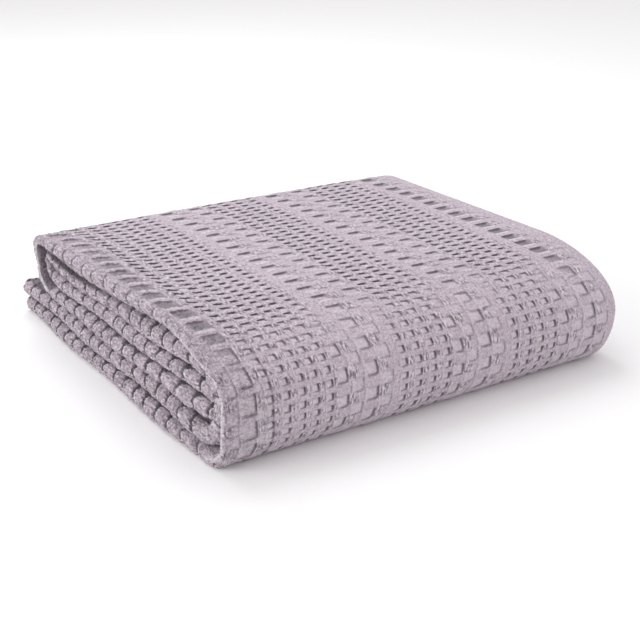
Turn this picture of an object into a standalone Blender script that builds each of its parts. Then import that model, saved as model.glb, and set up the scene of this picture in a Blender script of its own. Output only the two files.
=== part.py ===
"""Pique blanket, folded: one woven cloth laid in four across its width and rolled in three along its length.

Units are metres, +Z is up, the origin is on the floor under the middle of the folded blanket.
+X runs along the big round front fold to the right, +Y runs back from that fold.
"""

import math

import bmesh
import bpy
import numpy as np

# Folded size and cloth
WIDTH = 0.424
DEPTH = 0.429
HEIGHT = 0.108
CLOTH_THICKNESS = 0.0056

# The strip of four layers is the height of one run, and three runs make the stack
LAYERS = 4
RUNS = 3
RUN_GAP = 0.0012
RUN_THICKNESS = (HEIGHT - (RUNS - 1) * RUN_GAP) / RUNS
PAIR_GAP_SHARE = 0.30

# Front fold: its foremost point is at half height, the cloth rises from it in a long curve
NOSE_HEIGHT = 0.050
NOSE_UNDER = 0.028
NOSE_OVER = 0.110
# The pocket inside the front fold, where the rolled end lies
POCKET_FRONT = 0.036
POCKET_START = 0.070
POCKET_HEIGHT = 0.053
# Back fold of the top run, and the free end of the middle run, which is pressed thinner in its pocket
BACK_FOLD_CENTRE = 0.354
PRESSED_START = 0.086
ROLLED_END = 0.048
ROLLED_END_THICKNESS = 0.026

# Mesh steps: across each layer, round the folds, along each stretch of the roll
LAYER_STEPS = 7
LEFT_FOLD_STEPS = 6
RIGHT_FOLD_STEPS = 8
RUN_STEPS = 8
NOSE_STEPS = 6
BACK_FOLD_STEPS = 8
PRESSED_STEPS = 3
FREE_EDGE_INSET = 0.022

# The stack is lower at its back, and the left half of its top sags a little
BACK_HEIGHT_SHARE = 0.948
LEFT_SAG_SHARE = 0.035
RIGHT_END_SHARE = 0.034
BACK_LEFT_DROP_SHARE = 0.035
BACK_LEFT_REACH = 0.013
LEFT_SPREAD = 0.010
SIDE_WAVE = 0.0016
SIDE_WAVES_PER_DEPTH = 2.3

# Left folded edges, one row for each place along the roll, from the free end under the stack:
# how far the outer pair and the inner pair of layers stop short of the left side
LEFT_EDGES = (
    # place, outer_pair, inner_pair
    (0.00, 0.003, 0.004),
    (0.30, 0.000, 0.001),
    (0.50, 0.000, 0.003),
    (0.62, 0.003, 0.014),
    (0.75, 0.002, 0.008),
    (0.85, 0.002, 0.004),
    (1.00, 0.000, 0.005),
    (1.20, 0.006, 0.012),
    (1.50, 0.003, 0.004),
    (1.90, 0.004, 0.006),
    (2.00, 0.009, 0.012),
)

# Cloth colour
CLOTH_COLOUR = (0.47, 0.40, 0.46, 1.0)
CLOTH_ROUGHNESS = 0.9
CLOTH_METALLIC = 0.0

NODE_NAME = "folded_blanket"
ON_FLOOR = 1e-5


def quarter(centre, semi_y, semi_z, start, steps):
    """Points of a quarter ellipse in the YZ plane, from the start angle clockwise, without its first point."""
    turn = start - np.linspace(0, math.pi / 2, steps + 1)[1:]
    return [(centre[0] + semi_y * math.cos(a), centre[1] + semi_z * math.sin(a)) for a in turn]


def straight(start, end, steps):
    """Evenly spaced points from start to end, without the first."""
    share = np.linspace(0, 1, steps + 1)[1:]
    return [(start[0] + (end[0] - start[0]) * k, start[1] + (end[1] - start[1]) * k) for k in share]


def roll_sides():
    """The outer and the inner side of the rolled strip, as matching lines of points, and the place of each."""
    middle_floor = RUN_THICKNESS + RUN_GAP
    top_floor = 2 * middle_floor
    fold_height = (middle_floor + HEIGHT) / 2
    outer = [(DEPTH, 0.0)]
    inner = [(DEPTH, RUN_THICKNESS)]
    place = [0.0]

    def add(outer_points, inner_points, last_place):
        outer.extend(outer_points)
        inner.extend(inner_points)
        place.extend(np.linspace(place[-1], last_place, len(outer_points) + 1)[1:])

    add(
        straight(outer[-1], (NOSE_UNDER, 0.0), RUN_STEPS),
        straight(inner[-1], (POCKET_START, RUN_THICKNESS), RUN_STEPS),
        0.5,
    )
    add(
        quarter((NOSE_UNDER, NOSE_HEIGHT), NOSE_UNDER, NOSE_HEIGHT, 1.5 * math.pi, NOSE_STEPS),
        quarter(
            (POCKET_START, POCKET_HEIGHT),
            POCKET_START - POCKET_FRONT,
            POCKET_HEIGHT - RUN_THICKNESS,
            1.5 * math.pi,
            NOSE_STEPS,
        ),
        0.62,
    )
    add(
        quarter((NOSE_OVER, NOSE_HEIGHT), NOSE_OVER, HEIGHT - NOSE_HEIGHT, math.pi, NOSE_STEPS),
        quarter(
            (POCKET_START, POCKET_HEIGHT),
            POCKET_START - POCKET_FRONT,
            top_floor - POCKET_HEIGHT,
            math.pi,
            NOSE_STEPS,
        ),
        0.75,
    )
    add(
        straight(outer[-1], (BACK_FOLD_CENTRE, HEIGHT), RUN_STEPS),
        straight(inner[-1], (BACK_FOLD_CENTRE, top_floor), RUN_STEPS),
        1.0,
    )
    turn = math.pi / 2 - np.linspace(0, math.pi, BACK_FOLD_STEPS + 1)[1:]
    outer_radius = HEIGHT - fold_height
    inner_radius = top_floor - fold_height
    add(
        [(BACK_FOLD_CENTRE + outer_radius * math.cos(a), fold_height + outer_radius * math.sin(a)) for a in turn],
        [(BACK_FOLD_CENTRE + inner_radius * math.cos(a), fold_height + inner_radius * math.sin(a)) for a in turn],
        1.2,
    )
    add(
        straight(outer[-1], (PRESSED_START, middle_floor), RUN_STEPS),
        straight(inner[-1], (PRESSED_START, middle_floor + RUN_THICKNESS), RUN_STEPS),
        1.9,
    )
    add(
        straight(outer[-1], (ROLLED_END, POCKET_HEIGHT - ROLLED_END_THICKNESS / 2), PRESSED_STEPS),
        straight(inner[-1], (ROLLED_END, POCKET_HEIGHT + ROLLED_END_THICKNESS / 2), PRESSED_STEPS),
        2.0,
    )
    return np.array(outer), np.array(inner), np.array(place)


def section(thickness, left_outer, left_inner):
    """The middle line of the cloth across the strip: (x, depth below the strip's outer side)."""
    gaps = thickness - LAYERS * CLOTH_THICKNESS
    fold_gap = gaps * (1 - PAIR_GAP_SHARE) / 2
    pair_gap = gaps * PAIR_GAP_SHARE
    first = CLOTH_THICKNESS / 2
    second = first + CLOTH_THICKNESS + fold_gap
    third = second + CLOTH_THICKNESS + pair_gap
    fourth = third + CLOTH_THICKNESS + fold_gap
    small = (second - first) / 2
    large = (fourth - first) / 2
    large_across = RUN_THICKNESS / 2
    free_edge = WIDTH - FREE_EDGE_INSET
    line = [(free_edge, second)]
    line += straight(line[-1], (left_outer + small, second), LAYER_STEPS)
    half_turn = np.linspace(0, math.pi, LEFT_FOLD_STEPS + 1)[1:]
    line += [(left_outer + small * (1 - math.sin(a)), (first + second) / 2 + small * math.cos(a)) for a in half_turn]
    line += straight(line[-1], (WIDTH - large_across, first), LAYER_STEPS)
    wide_turn = np.linspace(0, math.pi, RIGHT_FOLD_STEPS + 1)[1:]
    line += [
        (WIDTH - large_across * (1 - math.sin(a)), (first + fourth) / 2 - large * math.cos(a)) for a in wide_turn
    ]
    line += straight(line[-1], (left_inner + small, fourth), LAYER_STEPS)
    line += [(left_inner + small * (1 - math.sin(a)), (third + fourth) / 2 + small * math.cos(a)) for a in half_turn]
    line += straight(line[-1], (free_edge, third), LAYER_STEPS)
    return np.array(line)


def cloth_middle():
    """The middle surface of the folded cloth, as rows of points along the roll and columns across the cloth."""
    outer, inner, place = roll_sides()
    edges = np.array(LEFT_EDGES)
    rows = []
    for outer_point, inner_point, at in zip(outer, inner, place):
        across = inner_point - outer_point
        thickness = np.linalg.norm(across)
        left_outer = np.interp(at, edges[:, 0], edges[:, 1])
        left_inner = np.interp(at, edges[:, 0], edges[:, 2])
        line = section(thickness, left_outer, left_inner)
        depth_share = line[:, 1:2] / thickness
        yz = outer_point + across * depth_share
        rows.append(np.column_stack([line[:, 0], yz]))
    return np.array(rows)


def surface_normals(points):
    """Unit normals of a grid of points, towards the outer side of the cloth."""
    along, across = np.gradient(points, axis=0), np.gradient(points, axis=1)
    normals = np.cross(across, along)
    return normals / np.linalg.norm(normals, axis=2, keepdims=True)


def settle(points):
    """Lowers the back of the stack, sags its left half, spreads its left side and waves it, as it lies."""
    x, y, z = points[..., 0], points[..., 1], points[..., 2]
    back = np.clip(y / DEPTH, 0, 1)
    left = 1 - np.clip(x / WIDTH, 0, 1)
    height_share = 1 - (1 - BACK_HEIGHT_SHARE) * back**1.3
    height_share -= LEFT_SAG_SHARE * np.sin(math.pi * np.clip(1.6 * left, 0, 1)) * (1 - back)
    height_share -= RIGHT_END_SHARE * (1 - left) ** 6
    height_share -= BACK_LEFT_DROP_SHARE * left**2 * back**2
    wave = SIDE_WAVE * np.sin(2 * math.pi * (SIDE_WAVES_PER_DEPTH * back + 1.7 * z / HEIGHT)) * left**4
    settled = points.copy()
    settled[..., 0] = x - LEFT_SPREAD * back * left**2 + wave
    settled[..., 1] = y + BACK_LEFT_REACH * left**2 * back**2 * z / HEIGHT
    settled[..., 2] = z * height_share
    return settled


def make_blanket():
    """The cloth's two faces joined round its four edges, as one closed solid over its origin."""
    middle = cloth_middle()
    outward = surface_normals(middle) * CLOTH_THICKNESS / 2
    faces = np.array([settle(middle + outward), settle(middle - outward)])
    faces[..., 2] = np.where(faces[..., 2] < ON_FLOOR, 0.0, faces[..., 2])
    low, high = faces.min(axis=(0, 1, 2)), faces.max(axis=(0, 1, 2))
    faces[..., :2] -= (low + high)[:2] / 2
    mesh = bpy.data.meshes.new(NODE_NAME)
    solid = bmesh.new()
    grids = [[[solid.verts.new(p) for p in row] for row in face] for face in faces]
    front, back = grids
    last_row, last_column = len(front) - 1, len(front[0]) - 1
    for i in range(last_row):
        for j in range(last_column):
            solid.faces.new((front[i][j], front[i][j + 1], front[i + 1][j + 1], front[i + 1][j]))
            solid.faces.new((back[i][j], back[i + 1][j], back[i + 1][j + 1], back[i][j + 1]))
    for i in range(last_row):
        solid.faces.new((front[i][0], front[i + 1][0], back[i + 1][0], back[i][0]))
        solid.faces.new((front[i + 1][-1], front[i][-1], back[i][-1], back[i + 1][-1]))
    for j in range(last_column):
        solid.faces.new((front[0][j + 1], front[0][j], back[0][j], back[0][j + 1]))
        solid.faces.new((front[-1][j], front[-1][j + 1], back[-1][j + 1], back[-1][j]))
    bmesh.ops.triangulate(solid, faces=solid.faces[:])
    bmesh.ops.recalc_face_normals(solid, faces=solid.faces[:])
    solid.to_mesh(mesh)
    solid.free()
    mesh.shade_smooth()
    mesh.set_sharp_from_angle(angle=math.radians(60))
    blanket = bpy.data.objects.new(NODE_NAME, mesh)
    bpy.context.scene.collection.objects.link(blanket)
    return blanket


def cloth_material():
    """Soft cotton in mauve grey."""
    material = bpy.data.materials.new("pique_cotton")
    material.use_nodes = True
    shader = material.node_tree.nodes["Principled BSDF"]
    shader.inputs["Base Color"].default_value = CLOTH_COLOUR
    shader.inputs["Roughness"].default_value = CLOTH_ROUGHNESS
    shader.inputs["Metallic"].default_value = CLOTH_METALLIC
    return material


for old in list(bpy.data.objects):
    bpy.data.objects.remove(old, do_unlink=True)

blanket = make_blanket()
blanket.data.materials.append(cloth_material())
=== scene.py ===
import math

import bpy
import numpy as np
from mathutils import Matrix, Vector


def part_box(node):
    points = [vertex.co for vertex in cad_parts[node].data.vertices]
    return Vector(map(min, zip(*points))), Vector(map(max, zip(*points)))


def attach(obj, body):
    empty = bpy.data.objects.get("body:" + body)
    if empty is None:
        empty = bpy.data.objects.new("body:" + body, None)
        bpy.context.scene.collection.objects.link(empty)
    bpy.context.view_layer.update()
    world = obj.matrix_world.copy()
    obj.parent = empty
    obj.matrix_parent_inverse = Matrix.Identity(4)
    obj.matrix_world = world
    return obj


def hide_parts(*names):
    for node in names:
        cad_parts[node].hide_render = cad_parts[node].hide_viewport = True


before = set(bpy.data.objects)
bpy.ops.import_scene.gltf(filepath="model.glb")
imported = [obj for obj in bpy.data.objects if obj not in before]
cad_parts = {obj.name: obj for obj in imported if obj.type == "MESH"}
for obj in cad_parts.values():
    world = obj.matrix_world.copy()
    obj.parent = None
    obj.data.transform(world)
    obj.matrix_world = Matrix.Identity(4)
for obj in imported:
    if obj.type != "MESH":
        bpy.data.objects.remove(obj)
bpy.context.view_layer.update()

# Front and top of the blanket
# One length of pique cotton, woven with sunk squares in small and large checks. It is laid in four across
# its width and rolled in three along its length; this layer goes round the front fold and over the top.
WIDTH = 0.424
DEPTH = 0.429
HEIGHT = 0.108
CLOTH_THICKNESS = 0.0056
LAYERS = 4
RUN_GAP = 0.0012
RUN_THICKNESS = (HEIGHT - 2 * RUN_GAP) / 3
PAIR_GAP_SHARE = 0.30
NOSE_HEIGHT = 0.050
NOSE_UNDER = 0.028
NOSE_OVER = 0.110
POCKET_FRONT = 0.036
POCKET_START = 0.070
POCKET_HEIGHT = 0.053
BACK_FOLD_CENTRE = 0.354
PRESSED_START = 0.086
ROLLED_END = 0.048
ROLLED_END_THICKNESS = 0.026
FREE_EDGE_INSET = 0.022
FREE_EDGE = WIDTH - FREE_EDGE_INSET
RIGHT_EDGE = WIDTH - RUN_THICKNESS / 2
ROLL_STEPS = 80

# Places along the rolled cloth, from its end on the floor at the back to its end inside the front fold
FIRST_PLACE = 0.0
UNDER_NOSE = 0.5
NOSE_FRONT = 0.62
TOP_START = 0.75
BACK_START = 1.0
BACK_TURNED = 1.1
MIDDLE_START = 1.2
PRESSED_PLACE = 1.9
LAST_PLACE = 2.0

# How the pile has settled
BACK_HEIGHT_SHARE = 0.948
BACK_DROP_POWER = 1.3
LEFT_SAG_SHARE = 0.035
LEFT_SAGS_PER_WIDTH = 1.6
RIGHT_END_SHARE = 0.034
RIGHT_END_POWER = 6
BACK_LEFT_DROP_SHARE = 0.035
BACK_LEFT_REACH = 0.013
LEFT_SPREAD = 0.010
SIDE_WAVE = 0.0016
SIDE_WAVES_PER_DEPTH = 2.3
SIDE_WAVES_PER_HEIGHT = 1.7
SIDE_WAVE_POWER = 4

# Stations across the cloth, one for each fold or layer's start: the cloth's free edge lies inside the pile
SECOND_LAYER = 0
OUTER_FOLD = 1
FIRST_LAYER = 2
RIGHT_TURN = 3
FOURTH_LAYER = 4
INNER_FOLD = 5
THIRD_LAYER = 6
LAST_EDGE = 7

# How far the left folds of the outer and the inner pair stop short, at each place along the roll
LEFT_EDGES = np.array((
    # place, outer_pair, inner_pair
    (0.00, 0.003, 0.004),
    (0.30, 0.000, 0.001),
    (0.49, 0.000, 0.002),
    (0.56, 0.002, 0.005),
    (0.66, 0.003, 0.006),
    (0.76, 0.002, 0.004),
    (0.85, 0.002, 0.004),
    (0.94, 0.000, 0.004),
    (1.02, 0.001, 0.007),
    (1.18, 0.006, 0.010),
    (1.30, 0.003, 0.004),
    (1.88, 0.003, 0.004),
    (2.00, 0.006, 0.008),
))

# How far the outer fold is pinched to a thin edge, round the front corner and at the back
PINCH = np.array((
    # place, pinch
    (0.44, 0.0),
    (0.52, 0.8),
    (0.56, 1.0),
    (0.67, 1.0),
    (0.73, 0.5),
    (0.82, 0.0),
    (0.98, 0.0),
    (1.04, 0.8),
    (1.16, 0.8),
    (1.24, 0.0),
))
PINCHED_THICKNESS_SHARE = 0.30
PINCHED_GAP_SHARE = 0.45
PINCHED_REACH_SHARE = 0.35
PINCH_REACH = 0.5
PINCH_CENTRE = FIRST_LAYER - 0.12
INNER_PINCH_START = 0.25
PINCHED_SLANT = 0.9

# Along the left side the layers are pressed together round the front, and the rolled end reaches after them
FRONT_PRESS = np.array((
    # place, press
    (0.46, 0.0),
    (0.54, 1.0),
    (0.68, 1.0),
    (0.80, 0.0),
))
FRONT_PRESS_SHARE = 0.13
LEFT_PRESS_START = 0.010
LEFT_PRESS_REACH = 0.050
ROLLED_END_REACH = 0.020
ROLLED_END_PLACE = 1.75

# Weave: a small check's width and length, and how far its squares sink and its pads and ridges rise
CHECKS_ACROSS = 28
CHECK_WIDTH = WIDTH / CHECKS_ACROSS
CHECK_LENGTH = 0.0110
LEFT_CHECKS = 2
SUNK_DEPTH = 0.0019
SUNK_DEPTH_BIG = 0.0023
PAD_SWELL = 0.0009
RAISED_HEIGHT = 0.0004
RIDGE_SWELL = 0.0009
RIDGE_CREASE = 0.0009
WRINKLE_DEPTH = 0.0007
THREAD_DRIFT = 0.05
FUZZ = 0.00010
RIDGE_FUZZ = 0.00055
# Rows of small checks up to each distance along the outer layers: they are drawn in round the front fold
WOVEN_ROWS = np.array((
    # distance, rows
    (0.0000, 0.0),
    (0.4425, 39.0),
    (0.5335, 47.0),
    (0.5965, 54.0),
    (0.8385, 76.0),
    (1.2785, 116.0),
))
# How many checks the columns lie further right, at each row: they lean as the cloth goes over the front
COLUMN_LEAN = np.array((
    # rows, checks
    (34.0, 0.0),
    (39.0, 0.50),
    (47.0, 0.50),
    (54.0, -0.12),
    (60.0, 0.12),
    (70.0, 0.30),
    (78.0, 0.0),
))
LEFT_LEAN = 0.45
LEFT_LEAN_COLUMNS = (4.5, 1.0)
RIGHT_LEAN = 0.30
RIGHT_LEAN_COLUMNS = (20, 24)
# How many rows the weave bends towards the back along the top's left side, and the rows where it does
LEFT_ROW_BEND = 0.7
LEFT_BEND_COLUMNS = 2.5
LEFT_BEND_LIMIT = 1.6
LEFT_BEND_ROWS = (47, 56, 74, 80)
# Shares of a check at which it has a row or column of points: the walls stand just before 0.5 and 1
CHECK_STEPS = (0.0, 0.05, 0.16, 0.28, 0.39, 0.455, 0.5, 0.61, 0.72, 0.84, 0.95)

def line_of(start, end, share):
    """Points on a straight stretch."""
    return np.add(start, np.subtract(end, start) * share[:, None])


def arc_of(centre, radii, start, sweep, share):
    """Points on a clockwise arc of an ellipse, from the start angle."""
    angle = start - sweep * share
    return np.add(centre, np.multiply(radii, np.column_stack([np.cos(angle), np.sin(angle)])))


def roll_sides():
    """Outer and inner side of the rolled strip in the YZ plane, and the place of each of their points."""
    share = np.linspace(0, 1, ROLL_STEPS + 1)[1:]
    quarter, half = math.pi / 2, math.pi
    middle_floor = RUN_THICKNESS + RUN_GAP
    top_floor = 2 * middle_floor
    fold_height = (middle_floor + HEIGHT) / 2
    back = (BACK_FOLD_CENTRE, fold_height)
    pocket = (POCKET_START, POCKET_HEIGHT)
    pocket_depth = POCKET_START - POCKET_FRONT
    half_end = ROLLED_END_THICKNESS / 2
    stretches = (
        # last place, outer side, inner side
        (
            UNDER_NOSE,
            line_of((DEPTH, 0), (NOSE_UNDER, 0), share),
            line_of((DEPTH, RUN_THICKNESS), (POCKET_START, RUN_THICKNESS), share),
        ),
        (
            NOSE_FRONT,
            arc_of((NOSE_UNDER, NOSE_HEIGHT), (NOSE_UNDER, NOSE_HEIGHT), 1.5 * math.pi, quarter, share),
            arc_of(pocket, (pocket_depth, POCKET_HEIGHT - RUN_THICKNESS), 1.5 * math.pi, quarter, share),
        ),
        (
            TOP_START,
            arc_of((NOSE_OVER, NOSE_HEIGHT), (NOSE_OVER, HEIGHT - NOSE_HEIGHT), half, quarter, share),
            arc_of(pocket, (pocket_depth, top_floor - POCKET_HEIGHT), half, quarter, share),
        ),
        (
            BACK_START,
            line_of((NOSE_OVER, HEIGHT), (BACK_FOLD_CENTRE, HEIGHT), share),
            line_of((POCKET_START, top_floor), (BACK_FOLD_CENTRE, top_floor), share),
        ),
        (
            MIDDLE_START,
            arc_of(back, HEIGHT - fold_height, quarter, half, share),
            arc_of(back, top_floor - fold_height, quarter, half, share),
        ),
        (
            PRESSED_PLACE,
            line_of((BACK_FOLD_CENTRE, middle_floor), (PRESSED_START, middle_floor), share),
            line_of(
                (BACK_FOLD_CENTRE, 2 * fold_height - top_floor),
                (PRESSED_START, middle_floor + RUN_THICKNESS),
                share,
            ),
        ),
        (
            LAST_PLACE,
            line_of((PRESSED_START, middle_floor), (ROLLED_END, POCKET_HEIGHT - half_end), share),
            line_of(
                (PRESSED_START, middle_floor + RUN_THICKNESS),
                (ROLLED_END, POCKET_HEIGHT + half_end),
                share,
            ),
        ),
    )
    outer = [np.array([(DEPTH, 0.0)])]
    inner = [np.array([(DEPTH, RUN_THICKNESS)])]
    place = [np.array([FIRST_PLACE])]
    for last_place, outer_points, inner_points in stretches:
        first_place = place[-1][-1]
        place.append(first_place + (last_place - first_place) * share)
        outer.append(outer_points)
        inner.append(inner_points)
    return np.concatenate(outer), np.concatenate(inner), np.concatenate(place)


ROLL_OUTER, ROLL_INNER, ROLL_PLACE = roll_sides()


def lengths_along(points):
    """Distance along a line of points, from its first."""
    return np.concatenate([[0.0], np.cumsum(np.linalg.norm(np.diff(points, axis=0), axis=1))])


OUTER_LENGTH = lengths_along(ROLL_OUTER)


def smooth(low, high, value):
    """0 below low, 1 above high, and a soft step between."""
    share = np.clip((value - low) / (high - low), 0, 1)
    return share * share * (3 - 2 * share)


def band(value, begins, full, fading, ends):
    """1 inside a band, 0 outside it, and a soft step at each of its sides."""
    return smooth(begins, full, value) * smooth(ends, fading, value)


def between(first, last, share):
    """Goes from the first value to the last as the share goes from 0 to 1."""
    return first + (last - first) * share


def eased(place, table, column):
    """A value of a table between its rows, without a kink at any row."""
    row = np.clip(np.searchsorted(table[:, 0], place, side="right") - 1, 0, len(table) - 2)
    share = (place - table[row, 0]) / (table[row + 1, 0] - table[row, 0])
    share = np.clip(share, 0, 1)
    share = share * share * (3 - 2 * share)
    return table[row, column] + (table[row + 1, column] - table[row, column]) * share


def strip_sizes(place):
    """Sizes of the strip's section at each place: layer depths, fold radii and where the folds start."""
    outer = np.stack([np.interp(place, ROLL_PLACE, ROLL_OUTER[:, k]) for k in (0, 1)], axis=-1)
    inner = np.stack([np.interp(place, ROLL_PLACE, ROLL_INNER[:, k]) for k in (0, 1)], axis=-1)
    thickness = np.linalg.norm(inner - outer, axis=-1)
    gaps = thickness - LAYERS * CLOTH_THICKNESS
    fold_gap = gaps * (1 - PAIR_GAP_SHARE) / 2
    small = (CLOTH_THICKNESS + fold_gap) / 2
    left_outer = eased(place, LEFT_EDGES, 1)
    left_inner = eased(place, LEFT_EDGES, 2)
    first = CLOTH_THICKNESS / 2
    third = first + 2 * small + CLOTH_THICKNESS + gaps * PAIR_GAP_SHARE
    pinch = np.interp(place, PINCH[:, 0], PINCH[:, 1])
    fold_reach = small * (1 - (1 - PINCHED_REACH_SHARE) * pinch)
    return {
        "outer": outer,
        "inward": (inner - outer) / thickness[..., None],
        "small": small,
        "large": (third + 2 * small - first) / 2,
        "first": first,
        "second": first + 2 * small,
        "third": third,
        "fourth": third + 2 * small,
        "left_outer": left_outer,
        "left_inner": left_inner,
        "fold_reach": fold_reach,
        "outer_edge": left_outer + fold_reach,
        "inner_edge": left_inner + small,
        "fold_length": math.pi * (small + CLOTH_THICKNESS / 2),
        "pinch": pinch,
    }


def turn_length(sizes):
    """Length of the showing face round the right turn."""
    return math.pi * (RUN_THICKNESS / 2 + sizes["large"] + CLOTH_THICKNESS) / 2


def station_at(across, place):
    """Station of the first and second layer, the left fold and the right turn, at a distance across."""
    sizes = strip_sizes(place)
    edge, fold = sizes["outer_edge"], sizes["fold_length"]
    return np.select(
        [across >= RIGHT_EDGE, across >= edge, across >= edge - fold],
        [
            RIGHT_TURN + (across - RIGHT_EDGE) / turn_length(sizes),
            FIRST_LAYER + (across - edge) / (RIGHT_EDGE - edge),
            FIRST_LAYER - (edge - across) / fold,
        ],
        OUTER_FOLD - (edge - fold - across) / (FREE_EDGE - edge),
    )


def lay_cloth(station, place):
    """Middle of the folded cloth, at each station across it and place along the roll."""
    sizes = strip_sizes(place)
    small, large = sizes["small"], sizes["large"]
    outer_edge, inner_edge = sizes["outer_edge"], sizes["inner_edge"]
    layer = np.clip(np.floor(station), SECOND_LAYER, THIRD_LAYER)
    share = station - layer
    turn = math.pi * share
    # A pinched fold turns close to the first layer, and slants back from there to the second
    slant = 1 + PINCHED_SLANT * sizes["pinch"]
    outer_turn = math.pi * share**slant
    choices = [layer == k for k in range(LAST_EDGE)]
    x = np.select(choices, [
        FREE_EDGE + (outer_edge - FREE_EDGE) * share,
        sizes["left_outer"] + sizes["fold_reach"] * (1 - np.sin(outer_turn)),
        outer_edge + (RIGHT_EDGE - outer_edge) * share,
        RIGHT_EDGE + RUN_THICKNESS / 2 * np.sin(turn),
        RIGHT_EDGE + (inner_edge - RIGHT_EDGE) * share,
        sizes["left_inner"] + small * (1 - np.sin(turn)),
        inner_edge + (FREE_EDGE - inner_edge) * share,
    ])
    near_left = smooth(LEFT_PRESS_REACH, LEFT_PRESS_START, x)
    first, second, third, fourth = (sizes[name] for name in ("first", "second", "third", "fourth"))
    drawn_in = 2 * small * (1 - PINCHED_GAP_SHARE) * sizes["pinch"] * near_left
    third, fourth = third - drawn_in, fourth - drawn_in
    depth = np.select(choices, [
        second - drawn_in,
        first + (small - drawn_in / 2) * (1 + np.cos(turn)),
        np.full_like(second, first),
        (first + fourth) / 2 - large * np.cos(turn),
        fourth,
        (third + fourth) / 2 + small * np.cos(turn),
        third,
    ])
    press = np.interp(place, FRONT_PRESS[:, 0], FRONT_PRESS[:, 1])
    depth = depth * (1 - FRONT_PRESS_SHARE * press * near_left)
    yz = sizes["outer"] + sizes["inward"] * depth[..., None]
    yz[..., 0] -= ROLLED_END_REACH * near_left * smooth(ROLLED_END_PLACE, LAST_PLACE, place)
    return np.concatenate([x[..., None], yz], axis=-1)


def outward(station, place):
    """Unit normals of the folded cloth towards the face that shows."""
    small_step = 2e-4
    to_right = lay_cloth(station + small_step, place) - lay_cloth(station - small_step, place)
    further = np.clip(place + small_step, FIRST_PLACE, LAST_PLACE)
    nearer = np.clip(place - small_step, FIRST_PLACE, LAST_PLACE)
    normals = np.cross(to_right, lay_cloth(station, further) - lay_cloth(station, nearer))
    return normals / np.linalg.norm(normals, axis=-1, keepdims=True)


def settle(points):
    """Lowers the back of the pile, sags its left half, spreads its left side and waves it, as it lies."""
    x, y, z = points[..., 0], points[..., 1], points[..., 2]
    back = np.clip(y / DEPTH, 0, 1)
    left = 1 - np.clip(x / WIDTH, 0, 1)
    height_share = 1 - (1 - BACK_HEIGHT_SHARE) * back**BACK_DROP_POWER
    sagged = np.clip(LEFT_SAGS_PER_WIDTH * left, 0, 1)
    height_share -= LEFT_SAG_SHARE * np.sin(math.pi * sagged) * (1 - back)
    height_share -= RIGHT_END_SHARE * (1 - left) ** RIGHT_END_POWER
    height_share -= BACK_LEFT_DROP_SHARE * left**2 * back**2
    waves = SIDE_WAVES_PER_DEPTH * back + SIDE_WAVES_PER_HEIGHT * z / HEIGHT
    wave = SIDE_WAVE * np.sin(2 * math.pi * waves) * left**SIDE_WAVE_POWER
    settled = points.copy()
    settled[..., 0] = x - LEFT_SPREAD * back * left**2 + wave
    settled[..., 1] = y + BACK_LEFT_REACH * left**2 * back**2 * z / HEIGHT
    settled[..., 2] = z * height_share
    return settled


# A sunk square in shares of its width and length, from its near left corner at 0 to its far right one at 1.
# A band is where it begins, is full, fades and ends. A pair is for the top and for the front, or for where
# a soft step begins and ends.
SQUARE_END = 1.001
SQUARE_CORNERS = (2.0, 1.4)
SQUARE_CORNER_POWER = 4
SLOPE_TO_RIGHT = (0.2, 1.0)
SLOPE_TO_FAR = (1.3, 0.3)
NEAR_SLOPE = (-0.02, 0.12)
WALL_SHARE = 0.09
# Painted shade on a square's far and right walls and along its near and left edges, weaker at its corners,
# and painted highlights along its rims
FAR_WALL_AT_LEFT = 0.14
FAR_WALL_AT_RIGHT = 0.21
FAR_WALL_FULL = 0.05
FAR_WALL_START = (0.0, 0.15)
FAR_WALL_DARK = (0.93, 0.50)
FAR_WALL_LOW_LOSS = 0.30
RIGHT_WALL_WIDTH = (0.18, 0.12)
RIGHT_WALL_FULL = 0.03
RIGHT_WALL_START = (0.0, 0.25)
RIGHT_WALL_DARK = (0.5, 1.0)
NEAR_LINE = (-0.08, 0.03, 0.06, 0.18)
NEAR_LINE_START = (0.0, 0.6)
NEAR_LINE_DARK = 0.50
NEAR_LINE_LOW_GAIN = 0.35
LEFT_LINE = (0.0, 0.04, 0.08, 0.16)
LEFT_LINE_START = (0.0, 0.25)
LEFT_LINE_DARK = 0.40
CORNER_DARK = 0.25
PALE_NEAR = (-0.08, 0.0, 0.08, 0.22)
PALE_NEAR_START = (0.0, 0.2)
PALE_NEAR_SHARE = 0.75
PALE_LEFT = (0.06, 0.14, 0.18, 0.30)
PALE_LEFT_SHARE = 0.45
PALE_MIDDLE = (0.10, 0.30, 0.80, 0.95)
PALE_MIDDLE_SHARE = 0.32


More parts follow.
